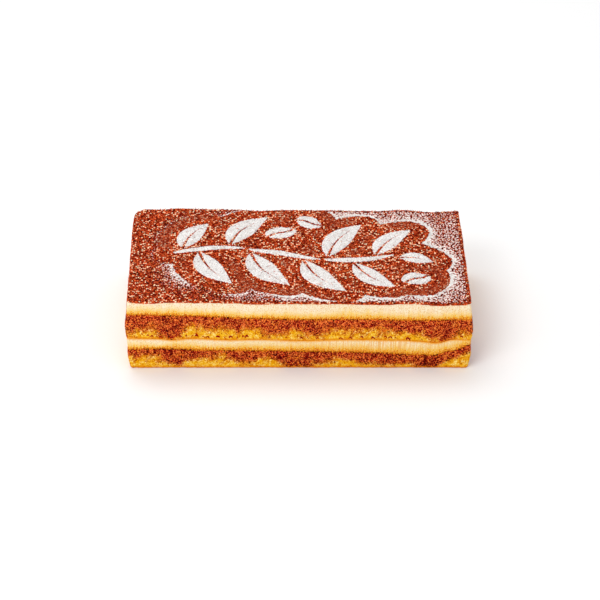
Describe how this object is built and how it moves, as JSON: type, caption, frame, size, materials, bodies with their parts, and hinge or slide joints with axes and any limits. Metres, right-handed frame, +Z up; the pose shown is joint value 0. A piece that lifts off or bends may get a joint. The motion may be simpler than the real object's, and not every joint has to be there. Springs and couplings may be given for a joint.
{
  "type": "tiramisu slab",
  "caption": "Rectangular slab of tiramisu with coffee-soaked sponge and cream in turns, topped with cocoa and a stencilled sugar branch.",
  "frame": {"origin": "centre of the underside, on the surface that the slab lies on", "axes": "+X along the slab to the right, +Y away from the cut side that shows the layers, +Z up through the layers"},
  "size_m": [0.1852, 0.097, 0.0427],
  "materials": {
    "sponge": "open, moist cake crumb, dark brown where coffee has soaked in and yellow below",
    "cream": "smooth pale whipped cream with faint drag marks of the knife, soft sheen",
    "cocoa": "granular red-brown cocoa powder, matt, with white powdered sugar on it"
  },
  "bodies": {
    "root": {"sponge_lower": "sponge", "cream_lower": "cream", "sponge_upper": "sponge", "cream_upper": "cream", "cocoa_top": "cocoa"}
  },
  "joints": []
}
